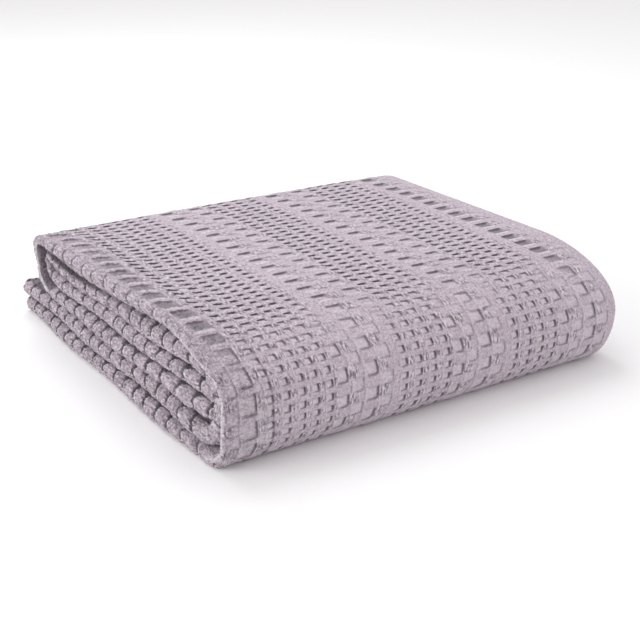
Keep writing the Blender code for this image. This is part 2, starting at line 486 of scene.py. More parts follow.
def sunk_square(right, far, width, length, front_share, low_share):
    """Depth share of a sunk square, painted shade on its walls, and painted highlights on its rims with a
    paler middle: right and far run from 0 to 1.
    """
    within = (right >= 0) & (right <= SQUARE_END) & (far >= NEAR_LINE[0]) & (far <= SQUARE_END)
    inside_right, inside_far = np.clip(right, 0, 1), np.clip(far, 0, 1)
    reach = np.clip(np.abs(2 * right - 1), 0, 1) ** SQUARE_CORNER_POWER
    reach = reach + np.clip(np.abs(2 * far - 1), 0, 1) ** SQUARE_CORNER_POWER
    corner = smooth(*SQUARE_CORNERS, reach)
    slope = inside_right ** between(*SLOPE_TO_RIGHT, front_share)
    slope = slope * inside_far ** between(*SLOPE_TO_FAR, front_share)
    slope *= smooth(*NEAR_SLOPE, right) * smooth(*NEAR_SLOPE, far)
    depth = slope * smooth(1.0, 1 - WALL_SHARE, right) * smooth(1.0, 1 - WALL_SHARE, far)

    from_right, from_far = (1 - right) * width, (1 - far) * length
    far_width = between(FAR_WALL_AT_LEFT, FAR_WALL_AT_RIGHT, inside_right)
    far_wall = smooth(far_width, FAR_WALL_FULL, from_far) * smooth(*FAR_WALL_START, right)
    far_dark = between(*FAR_WALL_DARK, front_share) - FAR_WALL_LOW_LOSS * low_share
    right_width = between(*RIGHT_WALL_WIDTH, front_share)
    right_wall = smooth(right_width, RIGHT_WALL_FULL, from_right) * smooth(*RIGHT_WALL_START, far)
    painted_shading = np.maximum(far_wall * far_dark, right_wall * between(*RIGHT_WALL_DARK, front_share))
    near_line = band(far, *NEAR_LINE) * smooth(*NEAR_LINE_START, right)
    left_line = band(right, *LEFT_LINE) * smooth(*LEFT_LINE_START, far)
    near_dark = NEAR_LINE_DARK + NEAR_LINE_LOW_GAIN * low_share
    painted_shading = np.maximum(painted_shading, (near_dark * near_line + LEFT_LINE_DARK * left_line) * front_share)

    pale_near = PALE_NEAR_SHARE * band(far, *PALE_NEAR) * smooth(*PALE_NEAR_START, right)
    pale_left = PALE_LEFT_SHARE * band(right, *PALE_LEFT)
    pale_middle = PALE_MIDDLE_SHARE * band(right, *PALE_MIDDLE) * band(far, *PALE_MIDDLE)
    pale = np.maximum(pale_near * (1 - front_share), np.maximum(pale_left, pale_middle) * front_share)
    return depth * within, painted_shading * within * between(CORNER_DARK, 1.0, corner), pale * within


DRIFT_WAVES = (
    # across, along, seed_turn, size
    (0.47, 0.19, 2.1, 1.0),
    (-0.35, 0.46, 4.7, 1.0),
    (1.07, 0.31, 1.3, 0.6),
)


def wander(u, v, seed):
    """Slow uneven drift of the threads over the cloth, about -1 to 1."""
    waves = (size * np.sin(u * across + v * along + seed * turn) for across, along, turn, size in DRIFT_WAVES)
    return 0.5 * sum(waves)


# Columns of squares, counted in small checks from the left, and the width and length of their squares
SMALL_COLUMNS = (0, 1, 2, 3, 4, 10, 11, 12, 18, 19, 20, 26, 27, 28)
SMALL_SQUARE = (0.57, 0.58)
NARROW_SQUARE = (0.42, 0.58)
BIG_COLUMNS = (-9, -1, 7, 15, 23, 31)
MIDDLE_BIG_COLUMNS = (7, 15)
BIG_WIDTH = 0.98
LEFT_BIG_WIDTH = 1.15
BIG_LENGTH = 1.10
# Length of the big squares that lie open along the left and the right side of the top
OPEN_LENGTHS = {-1: 1.60, 23: 1.30}
BESIDE_BIG = 2
BESIDE_SQUARE = (0.90, 1.05)
LEFT_BESIDE_DEPTH = 0.85 * SUNK_DEPTH_BIG
RIGHT_BESIDE_DEPTH = 0.80 * SUNK_DEPTH_BIG
SMALL_REPEAT = 1
BIG_REPEAT = 2


def square_columns(front_share):
    """The weave's columns of sunk squares: dark edge, width, length, repeat along the cloth, and depth."""
    columns = [(column, *SMALL_SQUARE, SMALL_REPEAT, SUNK_DEPTH) for column in SMALL_COLUMNS]
    for big in BIG_COLUMNS:
        width = BIG_WIDTH if big > 0 else LEFT_BIG_WIDTH
        columns.append((big, width, OPEN_LENGTHS.get(big, BIG_LENGTH), BIG_REPEAT, SUNK_DEPTH_BIG))
        # Beside the big squares the left column shows best on the front and the right column on the top
        left, right = big - BESIDE_BIG, big + BESIDE_BIG
        columns.append((left, *BESIDE_SQUARE, BIG_REPEAT, LEFT_BESIDE_DEPTH * front_share))
        columns.append((left, *NARROW_SQUARE, SMALL_REPEAT, SUNK_DEPTH * (1 - front_share)))
        if big in MIDDLE_BIG_COLUMNS:
            columns.append((right, *BESIDE_SQUARE, BIG_REPEAT, RIGHT_BESIDE_DEPTH * (1 - front_share)))
            columns.append((right, *SMALL_SQUARE, SMALL_REPEAT, SUNK_DEPTH * front_share))
    return columns


LOW_FRONT_ROWS = (53, 49)
BIG_ROW_SHIFT = 0.5
ROW_OFFSET = 1e-6
PLAIN_ROUGH = (0.30, 0.18)
BIG_WALL_DARK = 0.90
OPEN_ACROSS = (0.0, 0.25, 0.85, 1.0)
OPEN_START = (0.05, 0.30)
OPEN_DARK_RIGHT = 0.72
OPEN_DARK_LEFT = (0.25, 0.60)
OPEN_DARK_ROWS = (74, 58)
OPEN_DARK_DRIFT = 0.10
ROUGH_WIDTHS = {SMALL_REPEAT: 0.48, BIG_REPEAT: 0.76}
ROUGH_ACROSS = (0.0, 0.12, 0.80, 1.0)
ROUGH_START = (0.0, 0.15)
FLAT_SQUARE_DEPTH = 0.20
FLAT_SQUARE_WALL = (0.25, 0.50)
FLAT_SQUARE_PALE = 0.8
FLAT_SQUARE_SMOOTH = 0.8
FRONT_FLATTER = 0.25


def flat_weave(u, v, front_share):
    """Height of the weave's squares, with the painted shade on their walls, the painted highlights on their
    rims and the rough threads beside them.
    """
    height = np.zeros_like(u)
    painted_shading = np.zeros_like(u)
    pale = np.zeros_like(u)
    rough = between(*PLAIN_ROUGH, front_share)
    low_share = smooth(*LOW_FRONT_ROWS, v) * front_share
    for edge, width, length, repeat, depth in square_columns(front_share):
        strength = np.clip(depth / SUNK_DEPTH, 0, 1)
        begun = BIG_ROW_SHIFT * (repeat == BIG_REPEAT) + ROW_OFFSET
        right = (u - edge + width) / width
        far = ((v - begun) % repeat - repeat + length) / length
        before_end = far <= SQUARE_END
        square, square_shade, square_pale = sunk_square(right, far, width, length, front_share, low_share)
        swell = np.sin(math.pi * np.clip(right, 0, 1)) * np.sin(math.pi * np.clip(far, 0, 1))
        height += (PAD_SWELL * front_share * swell - depth * square) * (strength > 0)
        painted_shading = np.maximum(painted_shading, square_shade * strength * (1.0 if repeat == SMALL_REPEAT else BIG_WALL_DARK))
        pale = np.maximum(pale, square_pale * strength)
        if edge in OPEN_LENGTHS:
            # Along both sides of the top the big squares lie open, with painted shade in them
            dark = OPEN_DARK_RIGHT if edge > 0 else between(*OPEN_DARK_LEFT, smooth(*OPEN_DARK_ROWS, v))
            dark = dark + OPEN_DARK_DRIFT * wander(u, v, seed=6)
            open_square = band(right, *OPEN_ACROSS) * smooth(*OPEN_START, far) * before_end
            painted_shading = np.maximum(painted_shading, open_square * (1 - front_share) * dark)
        rough *= 1 - square * strength
        # The rough square of loose threads that stands to the right of each sunk one
        threads = band((u - edge) / ROUGH_WIDTHS[repeat], *ROUGH_ACROSS) * smooth(*ROUGH_START, far)
        threads *= before_end
        rough = np.maximum(rough, threads * strength)
        height += RAISED_HEIGHT * threads * strength
        if repeat == BIG_REPEAT:
            # A flat square of the same size, half a repeat on both ways, with a faint outline of painted
            # shade and highlight
            right = (u - edge - 1 + width) / width
            far = ((v - begun + 1) % repeat - repeat + length) / length
            square, square_shade, square_pale = sunk_square(right, far, width, length, front_share, low_share)
            height -= FLAT_SQUARE_DEPTH * depth * square
            painted_shading = np.maximum(painted_shading, between(*FLAT_SQUARE_WALL, front_share) * square_shade * strength)
            pale = np.maximum(pale, FLAT_SQUARE_PALE * square_pale * strength * front_share)
            rough *= 1 - FLAT_SQUARE_SMOOTH * square * strength
    return height * (1 - FRONT_FLATTER * front_share), painted_shading, pale, rough


# The pillows along a left fold's ridge, in shares of a pillow's length from the crease before it at 0, and
# their bends in shares of a pillow over the fold share, which is -1 under the ridge and 1 above it
RIDGE_BEND = 0.13
UPPER_BEND = 0.12
PILLOW_DRIFT = 0.06
CREASE_WIDTH = 0.06
# Painted shade: a dark line at each crease, in the wrinkles, over the pillows and in the gaps between ridges;
# a painted highlight on the lit edge before each crease
LINE_START = (-0.015, 0.02)
LINE_WIDTH = (0.056, 0.101)
LINE_WIDENS = (-0.6, 0.8)
LINE_WIDTH_DRIFT = 0.012
LINE_FADE = 0.035
LINE_DARK = (0.45, 1.05)
LINE_DARKENS = (-0.9, -0.1)
LINE_DRIFT = 0.25
PILLOW_SHADE = (-0.10, 0.02, 0.08, 0.40)
PILLOW_SHADE_DARK = 0.30
PILLOW_SHADE_RISES = (0.0, 0.8)
WRINKLES_PER_ROW = 1.5
WRINKLE_BEND = 3
WRINKLE_DRIFT = 0.5
WRINKLE_WIDTH = 0.10
WRINKLE_DARK = 0.55
WRINKLE_SHOWS = (0.0, 0.6)
GAP_START = 0.76
GAP_CORNER = (-0.10, 0.02, 0.08, 0.34)
GAP_CORNER_REACH = 0.30
GAP_DRIFT = 0.05
GAP_FADE = 0.16
FULL_PILLOW = 0.95
LIT_EDGE = (-0.20, -0.12, -0.05, 0.0)
LIT_EDGE_SHARE = 0.65
LIT_EDGE_ENDS = (0.8, 0.5)
RIDGE_ROUGH = (0.45, 1.0)
RIDGE_ROUGH_REACH = (0.50, 0.1)


def fold_pillows(v, fold_share, pillow_share):
    """Height of the swollen pillows along a left fold, with painted shade in their creases, wrinkles and
    gaps, painted highlights on their rims, and their rough parts.
    """
    above = np.clip(fold_share, 0, 1)
    uneven = wander(7 * fold_share, 3 * v, seed=5)
    bent = RIDGE_BEND * fold_share**2 + UPPER_BEND * above**2
    pillow = (v / 2 + bent + PILLOW_DRIFT * uneven + 0.5) % 1 - 0.5
    crease = np.exp(-((pillow / CREASE_WIDTH) ** 2))
    broad = between(*LINE_WIDTH, smooth(*LINE_WIDENS, fold_share))
    broad = broad + LINE_WIDTH_DRIFT * wander(0 * v, 1.7 * v, seed=2)
    line = smooth(*LINE_START, pillow) * smooth(broad + LINE_FADE, broad, pillow)
    line *= between(*LINE_DARK, smooth(*LINE_DARKENS, fold_share)) * (1 + LINE_DRIFT * uneven)
    shade = band(pillow, *PILLOW_SHADE) * smooth(*PILLOW_SHADE_RISES, fold_share)
    wrinkled = (v * WRINKLES_PER_ROW + WRINKLE_BEND * bent + WRINKLE_DRIFT * uneven) % 1 - 0.5
    wrinkle = np.exp(-((wrinkled / WRINKLE_WIDTH) ** 2))
    wrinkle *= smooth(*WRINKLE_SHOWS, wander(5 * fold_share, 2 * v, seed=9))
    height = RIDGE_SWELL * np.abs(np.sin(math.pi * pillow)) - RIDGE_CREASE * crease - WRINKLE_DEPTH * wrinkle
    # Painted shade where the cloth turns away into the gap between ridges
    gap_start = GAP_START - GAP_CORNER_REACH * band(pillow, *GAP_CORNER) * (fold_share > 0)
    gap_shade = smooth(0.0, GAP_FADE, np.abs(fold_share) - gap_start - GAP_DRIFT * uneven)
    gap_shade *= (fold_share < 0) | (pillow_share > FULL_PILLOW)
    ridge_shade = np.maximum(np.maximum(line, WRINKLE_DARK * wrinkle), np.maximum(gap_shade, PILLOW_SHADE_DARK * shade))
    pale = LIT_EDGE_SHARE * band(pillow, *LIT_EDGE)
    pale *= smooth(*LIT_EDGE_ENDS, np.abs(fold_share))
    rough = between(*RIDGE_ROUGH, smooth(*RIDGE_ROUGH_REACH, np.abs(pillow)))
    return height, np.clip(ridge_shade, 0, 1), pale, rough


RIDGE_SIDES = (1.35, 0.75)
# A painted highlight along the thin edge of a pinched fold
PINCHED_RIM_CENTRE = -0.05
PINCHED_RIM_WIDTH = (0.35, 0.10)
PINCHED_RIM_PALE = 0.9
PINCHED_RIM_SHOWS = (0.7, 0.4)


def weave(u, v, fold_share, front_share, pillow_share, hollow_shade):
    """Height of the weave over the cloth's face, its painted shading and its rough squares.

    A shading of 1 is full painted shade and one of -1 is full pale, a painted highlight on the rims. Where
    the big checks bend round a left fold, the pillows take the place of the squares by their share. The fold
    share is -1 under a ridge and 1 above it. The hollow shade is painted shade laid over the rest.
    """
    height, painted_shading, pale, rough = flat_weave(u, v, front_share)
    ridge_height, ridge_shade, ridge_pale, ridge_rough = fold_pillows(v, fold_share, pillow_share)
    crest = smooth(*RIDGE_SIDES, np.abs(fold_share)) * pillow_share
    height = between(height, ridge_height, crest)
    painted_shading = np.maximum(between(painted_shading, ridge_shade, crest), hollow_shade)
    rim = smooth(*PINCHED_RIM_WIDTH, np.abs(fold_share - PINCHED_RIM_CENTRE))
    rim *= PINCHED_RIM_PALE * smooth(*PINCHED_RIM_SHOWS, pillow_share)
    pale = np.maximum(between(pale, ridge_pale, crest), rim)
    return height, np.where(painted_shading > pale, painted_shading, -pale), between(rough, ridge_rough, crest)


# Where along the roll the cloth stands up as the front, and where it lies open as the top
FRONT_PLACES = (0.48, 0.52, 0.66, 0.73)
TOP_PLACES = (0.58, 0.70, 1.02, 1.10)
TOP_PILLOW_LOSS = (0.15, 1.0)
TOP_PILLOW_FOLD = (0.3, 1.1)
PINCHED_PILLOW_LOSS = 0.75
# The column about which the weave is mirrored left of the outer fold, where the layers below are turned
MIRROR_COLUMN = -5
# Painted deep shade inside the back fold's left end, and in the gap under the top that leads to it
HOLLOW_PLACES = (0.88, 1.00, 1.17, 1.22)
HOLLOW_FOLD = (-0.1, -0.35)
HOLLOW_DARK = (0.60, 0.96)
HOLLOW_DARKENS = (1.09, 1.01)
LEADING_PLACES = (0.80, 0.94, 1.02, 1.06)
LEADING_START = 0.44
LEADING_WIDENS = 0.35
LEADING_WIDENS_PLACES = (0.80, 1.00)
LEADING_FADE = 0.25
FUZZ_SIDES = (1.4, 0.9)


def woven_relief(name, station, place, u, v):
    """Height, painted shading and rough squares of the weave at each point of a piece, and its loose fibres.
    """
    fold_middle = np.where(station < RIGHT_TURN, OUTER_FOLD, INNER_FOLD) + 0.5
    fold_share = 2 * (station - fold_middle)
    pinch = strip_sizes(place)["pinch"]
    turned = (place < UNDER_NOSE) | (place > BACK_TURNED)
    front_share = band(place, *FRONT_PLACES)
    on_top = band(place, *TOP_PLACES) * (station < RIGHT_TURN)
    pillow_share = 1 - on_top * between(*TOP_PILLOW_LOSS, smooth(*TOP_PILLOW_FOLD, fold_share))
    pillow_share *= 1 - PINCHED_PILLOW_LOSS * pinch * (station < RIGHT_TURN)
    hollow_shade = band(place, *HOLLOW_PLACES) * smooth(*HOLLOW_FOLD, fold_share)
    hollow_shade *= between(*HOLLOW_DARK, smooth(*HOLLOW_DARKENS, place))
    leading_start = LEADING_START - LEADING_WIDENS * smooth(*LEADING_WIDENS_PLACES, place)
    leading = band(place, *LEADING_PLACES) * smooth(0.0, LEADING_FADE, fold_share - leading_start)
    hollow_shade = np.maximum(hollow_shade, leading * (station > RIGHT_TURN)) * (np.abs(fold_share) < 2)
    weave_u = np.where(turned & (u < 0), MIRROR_COLUMN - u, u)
    weave_v = np.where(turned, -v, v)
    upward = np.where(turned, -fold_share, fold_share)
    height, painted_shading, rough = weave(weave_u, weave_v, upward, front_share, pillow_share, hollow_shade)
    # Loose fibres stand up unevenly, most on the ridges; each piece draws its own from a fixed seed
    fibres = np.random.default_rng(len(name)).normal(size=height.shape)
    ridge_share = smooth(*FUZZ_SIDES, np.abs(fold_share))
    return height + fibres * between(FUZZ, RIDGE_FUZZ, ridge_share), painted_shading, rough


def check_steps(first, last):
    """Columns or rows between two numbers of checks, close together at the walls of the squares."""
    whole = np.arange(math.floor(first), math.ceil(last) + 1)
    steps = (whole[:, None] + np.array(CHECK_STEPS)).ravel()
    steps = steps[(steps > first + 0.02) & (steps < last - 0.02)]
    return np.concatenate([[first], steps, [last]])


# The plain back has one point for this many of the woven face
BACK_SHARE = 4


def even_count(values):
    """Spreads a few more steps over the values, so that the back's points fall on some of them."""
    missing = -(len(values) - 1) % BACK_SHARE
    values = list(values)
    for k in range(missing):
        widest = int(np.argmax(np.diff(values)))
        values.insert(widest + 1, (values[widest] + values[widest + 1]) / 2)
    return np.array(values)


def cloth_faces(station, place):
    """The face and the back of the folded cloth without its weave, before it is set on the frame."""
    middle = lay_cloth(station, place)
    normals = outward(station, place)
    from_outer = np.abs(station - PINCH_CENTRE)
    from_inner = INNER_PINCH_START + np.abs(station - INNER_FOLD - 0.5)
    from_fold = np.minimum(from_outer, from_inner)
    pinched = strip_sizes(place)["pinch"] * smooth(PINCH_REACH, 0, from_fold)
    half = normals * (CLOTH_THICKNESS / 2 * (1 - (1 - PINCHED_THICKNESS_SHARE) * pinched))[..., None]
    return settle(middle + half), settle(middle - half), normals


MEASURED_STATIONS = 99
MEASURED_PLACES = 401


def frame_shift():
    """From the folded cloth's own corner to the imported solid's place."""
    stations = np.linspace(SECOND_LAYER, LAST_EDGE, MEASURED_STATIONS)
    station, place = np.meshgrid(stations, np.linspace(FIRST_PLACE, LAST_PLACE, MEASURED_PLACES))
    face, back, _ = cloth_faces(station, place)
    points = np.concatenate([face, back])
    low, high = points.min(axis=(0, 1)), points.max(axis=(0, 1))
    box_low, box_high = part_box("folded_blanket")
    shift = (np.array(box_low) + np.array(box_high) - low - high) / 2
    shift[2] = 0.0
    return shift


SHIFT = frame_shift()


def grid_faces(rows, columns, first, flip):
    """Four-sided faces over a grid of points that starts at a number."""
    corner = first + np.arange(rows - 1)[:, None] * columns + np.arange(columns - 1)[None, :]
    corner = corner.ravel()
    around = [corner, corner + 1, corner + columns + 1, corner + columns]
    if flip:
        around.reverse()
    return np.column_stack(around)


def rim_faces(fine_line, coarse_line, flip):
    """Faces that close a fine edge against a coarse one, each with one coarse side and its fine ones."""
    every = (len(fine_line) - 1) // (len(coarse_line) - 1)
    faces = []
    for k in range(len(coarse_line) - 1):
        fine = list(fine_line[k * every : (k + 1) * every + 1])
        face = fine + [coarse_line[k + 1], coarse_line[k]]
        faces.append(face[::-1] if flip else face)
    return faces


SHARP_ANGLE = math.radians(80)


def make_cloth(name, station, place, checks=None):
    """One closed piece of the folded cloth: a fine woven face over a plainer back.

    A grid of stations and places is given with its count of checks across and along. Without the checks
    the piece stays plain, and its back is as fine as its face.
    """
    face, back, normals = cloth_faces(station, place)
    if checks is None:
        every = 1
        u = v = height = painted_shading = rough = np.zeros_like(station)
    else:
        every = BACK_SHARE
        u, v = checks
        height, painted_shading, rough = woven_relief(name, station, place, u, v)
    front = face + normals * height[..., None] + SHIFT
    behind = (back + SHIFT)[::every, ::every]
    front[..., 2] = np.maximum(front[..., 2], 0.0)
    behind[..., 2] = np.maximum(behind[..., 2], 0.0)
    rows, columns = front.shape[:2]
    back_rows, back_columns = behind.shape[:2]
    number = np.arange(rows * columns).reshape(rows, columns)
    back_number = rows * columns + np.arange(back_rows * back_columns).reshape(back_rows, back_columns)
    faces = grid_faces(rows, columns, 0, False).tolist()
    faces += grid_faces(back_rows, back_columns, rows * columns, True).tolist()
    faces += rim_faces(number[0], back_number[0], True)
    faces += rim_faces(number[-1], back_number[-1], False)
    faces += rim_faces(number[:, 0], back_number[:, 0], False)
    faces += rim_faces(number[:, -1], back_number[:, -1], True)
    points = np.concatenate([front.reshape(-1, 3), behind.reshape(-1, 3)])
    mesh = bpy.data.meshes.new(name)
    mesh.from_pydata(points.tolist(), [], faces)

    def whole(values):
        return np.concatenate([values.ravel(), values[::every, ::every].ravel()])

    uv = np.column_stack([whole(u), whole(v)])
    corners = np.empty(len(mesh.loops), dtype=np.int32)
    mesh.loops.foreach_get("vertex_index", corners)
    layer = mesh.uv_layers.new(name="weave")
    layer.data.foreach_set("uv", uv[corners].ravel().astype(np.float32))
    # The painted shading, shade above 0 and highlight below, and the rough squares go to the material as
    # point attributes
    for label, values in (("painted_shading", painted_shading), ("rough", rough)):
        attribute = mesh.attributes.new(label, "FLOAT", "POINT")
        attribute.data.foreach_set("value", whole(values).astype(np.float32))
    mesh.validate()
    mesh.shade_smooth()
    mesh.set_sharp_from_angle(angle=SHARP_ANGLE)
    piece = bpy.data.objects.new(name, mesh)
    bpy.context.scene.collection.objects.link(piece)
    piece.data.materials.append(PIQUE_COTTON)
    middle = lay_cloth(station, place)
    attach(piece, "root")
    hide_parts("folded_blanket")
    return piece


# Finish of the cotton: colours, the grain of its noises in waves a metre, and how deep its bump is
COTTON_DARK = (0.432, 0.352, 0.416)
COTTON_LIGHT = (0.804, 0.676, 0.780)
LIGHT_FIBRE = (0.930, 0.865, 0.915)
DARK_FIBRE = (0.180, 0.138, 0.175)
# Painted shade and painted highlight of the thread strokes
THREAD_SHADE = (0.150, 0.112, 0.145)
THREAD_HIGHLIGHT = (0.900, 0.835, 0.885)
# Pale for painted highlights on rims and paler pad middles, and dark for painted shade in walls, creases,
# gaps and hollows
PAINTED_HIGHLIGHT_AND_PALE_PAD = (0.930, 0.870, 0.920)
PAINTED_SHADE = (0.045, 0.032, 0.045)
COTTON_GRAIN = 420.0
LIGHT_FIBRE_GRAIN = 760.0
DARK_FIBRE_GRAIN = 680.0
FINE_BUMP_GRAIN = 850.0
COARSE_BUMP_GRAIN = 300.0
THREADS_PER_CHECK = (8.0, 1.9, 1.0)
FINE_BUMP = 1.1
COARSE_BUMP = 0.8
THREAD_BUMP = 0.7
BUMP_STRENGTH = 1.05
BUMP_DEPTH = 0.0016
COTTON_ROUGHNESS = 0.92
COTTON_SHEEN = 0.25
SHEEN_ROUGHNESS = 0.6


def pique_cotton():
    """Soft brushed cotton in mauve grey, with painted shade in the walls of its sunk squares, its creases and
    hollows, painted highlights on its rims, and short loose fibres.
    """
    material = bpy.data.materials.new("pique_cotton")
    material.use_nodes = True
    tree = material.node_tree
    link = tree.links.new
    shader = tree.nodes["Principled BSDF"]
    shader.inputs["Roughness"].default_value = COTTON_ROUGHNESS
    shader.inputs["Sheen Weight"].default_value = COTTON_SHEEN
    shader.inputs["Sheen Roughness"].default_value = SHEEN_ROUGHNESS
    weave_map = tree.nodes.new("ShaderNodeUVMap")
    weave_map.uv_map = "weave"
    where = tree.nodes.new("ShaderNodeTexCoord").outputs["Object"]

    def read(label):
        node = tree.nodes.new("ShaderNodeAttribute")
        node.attribute_name = label
        return node.outputs["Fac"]

    def noise(vector, scale, detail, roughness=0.65):
        node = tree.nodes.new("ShaderNodeTexNoise")
        for label, number in (("Scale", scale), ("Detail", detail), ("Roughness", roughness)):
            node.inputs[label].default_value = number
        link(vector, node.inputs["Vector"])
        return node.outputs["Fac"]

    def ranged(value, low, high, to_low, to_high):
        node = tree.nodes.new("ShaderNodeMapRange")
        for label, number in (("From Min", low), ("From Max", high), ("To Min", to_low), ("To Max", to_high)):
            node.inputs[label].default_value = number
        link(value, node.inputs["Value"])
        return node.outputs["Result"]

    def times(value, other, added=None):
        node = tree.nodes.new("ShaderNodeMath")
        node.operation = "MULTIPLY" if added is None else "MULTIPLY_ADD"
        for place, one in enumerate((value, other, added)):
            if isinstance(one, float):
                node.inputs[place].default_value = one
            elif one is not None:
                link(one, node.inputs[place])
        return node.outputs["Value"]

    def mixed(share, first, second):
        node = tree.nodes.new("ShaderNodeMix")
        node.data_type = "RGBA"
        link(share, node.inputs["Factor"])
        for label, colour in (("A", first), ("B", second)):
            if isinstance(colour, tuple):
                node.inputs[label].default_value = (*colour, 1)
            else:
                link(colour, node.inputs[label])
        return node.outputs["Result"]

    painted_shading, rough = read("painted_shading"), read("rough")

    # Uneven soft cotton, with lighter loose fibres and darker threads between them
    cloth = mixed(ranged(noise(where, COTTON_GRAIN, 4.0), 0.3, 0.7, 0.0, 1.0), COTTON_DARK, COTTON_LIGHT)
    loose = ranged(rough, 0.0, 0.30, 0.25, 1.0)
    light_fibres = times(ranged(noise(where, LIGHT_FIBRE_GRAIN, 2.0), 0.55, 0.66, 0.0, 0.75), loose)
    cloth = mixed(light_fibres, cloth, LIGHT_FIBRE)
    dark_fibres = times(ranged(noise(where, DARK_FIBRE_GRAIN, 1.0), 0.45, 0.32, 0.0, 0.55), loose)
    cloth = mixed(dark_fibres, cloth, DARK_FIBRE)

    # Short strokes of loose threads along the cloth, strongest in the rough squares, with painted shade
    # between them and painted highlights on them
    stretched = tree.nodes.new("ShaderNodeMapping")
    stretched.inputs["Scale"].default_value = THREADS_PER_CHECK
    link(weave_map.outputs["UV"], stretched.inputs["Vector"])
    threads = noise(stretched.outputs["Vector"], 1.0, 2.0, 0.6)
    shaded = times(ranged(threads, 0.52, 0.40, 0.0, 0.85), rough)
    cloth = mixed(shaded, cloth, THREAD_SHADE)
    lit_threads = times(ranged(threads, 0.54, 0.66, 0.0, 0.80), rough)
    cloth = mixed(lit_threads, cloth, THREAD_HIGHLIGHT)

    # Painted highlights on rims and pale pads where the shading attribute is below 0, and painted shade in
    # walls, creases and hollows where it is above
    cloth = mixed(ranged(painted_shading, 0.0, -1.0, 0.0, 0.75), cloth, PAINTED_HIGHLIGHT_AND_PALE_PAD)
    cloth = mixed(ranged(painted_shading, 0.0, 1.0, 0.0, 0.94), cloth, PAINTED_SHADE)
    link(cloth, shader.inputs["Base Color"])

    ribbed = times(threads, rough)
    coarse = times(noise(where, COARSE_BUMP_GRAIN, 2.0), COARSE_BUMP, times(ribbed, THREAD_BUMP))
    surface = times(noise(where, FINE_BUMP_GRAIN, 2.0), FINE_BUMP, coarse)
    bump = tree.nodes.new("ShaderNodeBump")
    bump.inputs["Strength"].default_value = BUMP_STRENGTH
    bump.inputs["Distance"].default_value = BUMP_DEPTH
    link(surface, bump.inputs["Height"])
    link(bump.outputs["Normal"], shader.inputs["Normal"])
    return material


PIQUE_COTTON = pique_cotton()


# Columns where the cloth of the front and the top is parted into three pieces, and where it leaves the floor
TOP_EDGES = (-1, 8.5, 16.5, 25)
FLOOR_START = 0.47


def outer_rows(place):
    """Number of rows of checks along the outer pair of layers up to a place along the roll."""
    return np.interp(np.interp(place, ROLL_PLACE, OUTER_LENGTH), WOVEN_ROWS[:, 0], WOVEN_ROWS[:, 1])


def outer_place(u, v):
    """Place along the roll of a point of the outer pair of layers, given in checks across and rows along."""
    from_left = np.clip((LEFT_BEND_COLUMNS - u) / LEFT_BEND_COLUMNS, 0, LEFT_BEND_LIMIT)
    bend = LEFT_ROW_BEND * from_left**2 * band(v, *LEFT_BEND_ROWS)
    rows = v + bend + THREAD_DRIFT * wander(u, v, seed=1)
    return np.interp(np.interp(rows, WOVEN_ROWS[:, 1], WOVEN_ROWS[:, 0]), OUTER_LENGTH, ROLL_PLACE)


def outer_across(u, v):
    """Distance across the cloth of the same point, from the left side."""
    lean = eased(v, COLUMN_LEAN, 1)
    lean = lean + LEFT_LEAN * smooth(*LEFT_LEAN_COLUMNS, u) + RIGHT_LEAN * smooth(*RIGHT_LEAN_COLUMNS, u)
    return (u + LEFT_CHECKS + lean + THREAD_DRIFT * wander(u, v, seed=2)) * CHECK_WIDTH


def make_outer_cloth(name, first_column, last_column, first_place, last_place, row_steps):
    """A woven piece of the first layer and its fold, between two columns of checks and two places."""
    columns = even_count(check_steps(first_column, last_column))
    rows = even_count(row_steps(outer_rows(first_place), outer_rows(last_place)))
    u, v = np.meshgrid(columns, rows)
    place = outer_place(u, v)
    return make_cloth(name, station_at(outer_across(u, v), place), place, (u, v))


for strip in range(len(TOP_EDGES) - 1):
    edges = TOP_EDGES[strip : strip + 2]
    make_outer_cloth(f"top_cloth_{strip + 1}", *edges, FLOOR_START, MIDDLE_START, check_steps)

# Left folds
# The same cloth, turned back on itself twice along the left side, so each run of the roll shows two soft
# ridges there. The weave bends round each ridge as a row of swollen pillows with curved creases.
FOLD_LAP_COLUMN = -4.6
INNER_FOLD_COLUMN = -2.5
INNER_FOLD_REACH = 1.35
FINE_ROW_STEP = 0.062


def fine_rows(first, last):
    """Rows between two numbers of checks, evenly close together."""
    return np.linspace(first, last, int((last - first) / FINE_ROW_STEP))


make_outer_cloth("outer_fold", FOLD_LAP_COLUMN, TOP_EDGES[0], FIRST_PLACE, LAST_PLACE, fine_rows)

INNER_LENGTH = lengths_along(lay_cloth(np.full_like(ROLL_PLACE, INNER_FOLD + 0.5), ROLL_PLACE))


def inner_station_at(beyond, place):
    """Station of the third and fourth layer and their left fold, at a distance beyond its crest."""
    sizes = strip_sizes(place)
    edge, half_fold = sizes["inner_edge"], sizes["fold_length"] / 2
    return np.select(
        [beyond > half_fold, beyond >= -half_fold],
        [
            THIRD_LAYER + (beyond - half_fold) / (FREE_EDGE - edge),
            INNER_FOLD + 0.5 + beyond / (2 * half_fold),
        ],
        INNER_FOLD + (beyond + half_fold) / (RIGHT_EDGE - edge),
    )


inner_columns = (INNER_FOLD_COLUMN - INNER_FOLD_REACH, INNER_FOLD_COLUMN + INNER_FOLD_REACH)
inner_columns = even_count(check_steps(*inner_columns))
inner_rows = even_count(fine_rows(0, INNER_LENGTH[-1] / CHECK_LENGTH))
u, v = np.meshgrid(inner_columns, inner_rows)
place = np.interp((v + THREAD_DRIFT * wander(u, v, seed=3)) * CHECK_LENGTH, INNER_LENGTH, ROLL_PLACE)
station = inner_station_at((u - INNER_FOLD_COLUMN) * CHECK_WIDTH, place)
make_cloth("inner_fold", station, place, (u, v))

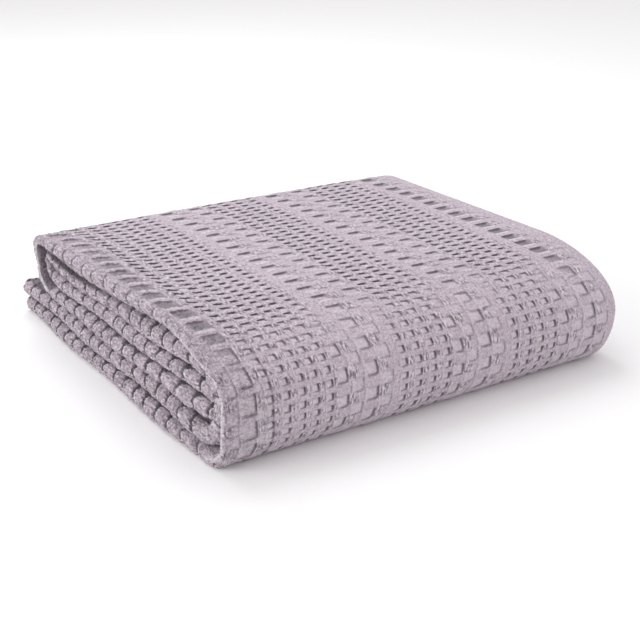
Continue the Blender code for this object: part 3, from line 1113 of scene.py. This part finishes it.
# Right turn
# The middle of the cloth, where all four layers go round in one wide turn along the right side.
TURN_COLUMNS = 3.6
right_columns = even_count(check_steps(TOP_EDGES[-1], TOP_EDGES[-1] + TURN_COLUMNS))
right_rows = even_count(check_steps(0, outer_rows(LAST_PLACE)))
u, v = np.meshgrid(right_columns, right_rows)
place = outer_place(u, v)
turned_share = (u - TOP_EDGES[-1]) / (right_columns[-1] - TOP_EDGES[-1])
start_station = station_at(outer_across(np.full_like(u, TOP_EDGES[-1]), v), place)
station = between(start_station, FOURTH_LAYER, turned_share)
inner_checks = np.interp(place, ROLL_PLACE, INNER_LENGTH) / CHECK_LENGTH
make_cloth("right_turn", station, place, (u, between(v, inner_checks, turned_share)))

# Hidden layers
# The rest of the same cloth: the layer that lies on the floor, the middle run, and the layers inside the
# pairs. They only show at the free ends at the back, so they are left smooth.
PLAIN_STEP = 0.009


def make_hidden_layer(name, start_at, end_at, first_place, last_place):
    """A plain layer between two lines of stations, each given as a function of the place."""
    places = np.linspace(*np.interp((first_place, last_place), ROLL_PLACE, OUTER_LENGTH), 2)
    rows = int((places[1] - places[0]) / PLAIN_STEP)
    places = np.interp(np.linspace(places[0], places[1], rows + 1), OUTER_LENGTH, ROLL_PLACE)
    share, place = np.meshgrid(np.linspace(0, 1, int(WIDTH / PLAIN_STEP)), places)
    start, end = start_at(place), end_at(place)
    return make_cloth(name, between(start, end, share), place)


def station_line(station):
    """A line that keeps to one station."""
    return lambda place: np.full_like(place, station)


def outer_line(column):
    """A line along one column of checks of the outer pair of layers."""
    return lambda place: station_at(outer_across(np.full_like(place, column), outer_rows(place)), place)


def inner_line(checks):
    """A line that keeps so many checks beyond the crest of the inner fold."""
    return lambda place: inner_station_at(np.full_like(place, checks * CHECK_WIDTH), place)


left_line, right_line = outer_line(TOP_EDGES[0]), outer_line(TOP_EDGES[-1])
make_hidden_layer("under_cloth", left_line, right_line, FIRST_PLACE, FLOOR_START)
make_hidden_layer("middle_cloth", left_line, right_line, MIDDLE_START, LAST_PLACE)
hidden_layers = (
    # name, first line, last line
    ("second_layer", station_line(SECOND_LAYER), outer_line(FOLD_LAP_COLUMN)),
    ("third_layer", inner_line(INNER_FOLD_REACH), station_line(LAST_EDGE)),
    ("fourth_layer", station_line(FOURTH_LAYER), inner_line(-INNER_FOLD_REACH)),
)
for name, first_line, last_line in hidden_layers:
    make_hidden_layer(name, first_line, last_line, FIRST_PLACE, LAST_PLACE)

# Floor
# A plain pale studio floor under the blanket, not part of it. It is painted matt, and reaches far past
# the picture on all sides.
FLOOR_SIZE = 60.0
FLOOR_COLOUR = (0.94, 0.94, 0.94, 1)
FLOOR_ROUGHNESS = 0.8
bpy.ops.mesh.primitive_plane_add(size=FLOOR_SIZE, location=(0, 0, 0))
floor = bpy.context.object
floor.name = "floor"
paint = bpy.data.materials.new("floor_paint")
paint.use_nodes = True
matt = paint.node_tree.nodes["Principled BSDF"]
matt.inputs["Base Color"].default_value = FLOOR_COLOUR
matt.inputs["Roughness"].default_value = FLOOR_ROUGHNESS
floor.data.materials.append(paint)

# Light
# A broad soft lamp above and behind the blanket, a smaller one low at its left, and pale light from all
# round. Both lamps are disks turned to the middle of the blanket's base.
SOFT_LAMP_SIZE = 1.6
SOFT_LAMP_POWER = 13.0
SOFT_LAMP_COLOUR = (0.95, 0.98, 1.0)
SOFT_LAMP_PLACE = (0.10, 1.05, 1.6)
FILL_SIZE = 1.0
FILL_POWER = 9.0
FILL_COLOUR = (1.0, 1.0, 1.0)
FILL_PLACE = (-1.6, 0.1, 0.8)
STUDIO_COLOUR = (1.0, 0.982, 0.988, 1)
STUDIO_STRENGTH = 0.86


def add_lamp(name, size, power, colour, place):
    """A round lamp that looks at the origin."""
    data = bpy.data.lights.new(name, "AREA")
    data.shape = "DISK"
    data.size = size
    data.energy = power
    data.color = colour
    lamp = bpy.data.objects.new(name, data)
    lamp.location = place
    lamp.rotation_euler = (-Vector(place)).to_track_quat("-Z", "Y").to_euler()
    bpy.context.scene.collection.objects.link(lamp)


add_lamp("soft_lamp", SOFT_LAMP_SIZE, SOFT_LAMP_POWER, SOFT_LAMP_COLOUR, SOFT_LAMP_PLACE)
add_lamp("front_fill", FILL_SIZE, FILL_POWER, FILL_COLOUR, FILL_PLACE)
world = bpy.data.worlds.new("studio")
bpy.context.scene.world = world
world.use_nodes = True
sky = world.node_tree.nodes["Background"]
sky.inputs["Color"].default_value = STUDIO_COLOUR
sky.inputs["Strength"].default_value = STUDIO_STRENGTH

# Camera
# It looks down at the blanket from in front and to the left. The pixel is where the picture shows the
# bottom of the front left corner.
IMAGE_PIXELS = 640
FOCAL_PIXELS = 1185.4
SENSOR_WIDTH = 36.0
AZIMUTH = math.radians(-32.52)
ELEVATION = math.radians(22.80)
CORNER_PIXEL = (227.9, 482.3)
CORNER_DISTANCE = 0.93

look = Vector((
    -math.sin(AZIMUTH) * math.cos(ELEVATION),
    math.cos(AZIMUTH) * math.cos(ELEVATION),
    -math.sin(ELEVATION),
))
right = Vector((math.cos(AZIMUTH), math.sin(AZIMUTH), 0))
up = right.cross(look)
middle_pixel = IMAGE_PIXELS / 2
right_of_middle = (CORNER_PIXEL[0] - middle_pixel) / FOCAL_PIXELS
below_middle = (CORNER_PIXEL[1] - middle_pixel) / FOCAL_PIXELS
to_corner = look + right * right_of_middle - up * below_middle
bpy.context.scene.view_settings.view_transform = "Standard"
camera_data = bpy.data.cameras.new("camera")
camera_data.sensor_width = SENSOR_WIDTH
camera_data.lens = FOCAL_PIXELS / IMAGE_PIXELS * SENSOR_WIDTH
camera = bpy.data.objects.new("camera", camera_data)
placed = Matrix((right, up, -look)).transposed().to_4x4()
placed.translation = Vector(SHIFT.tolist()) - to_corner * CORNER_DISTANCE
camera.matrix_world = placed
bpy.context.scene.collection.objects.link(camera)
bpy.context.scene.camera = camera
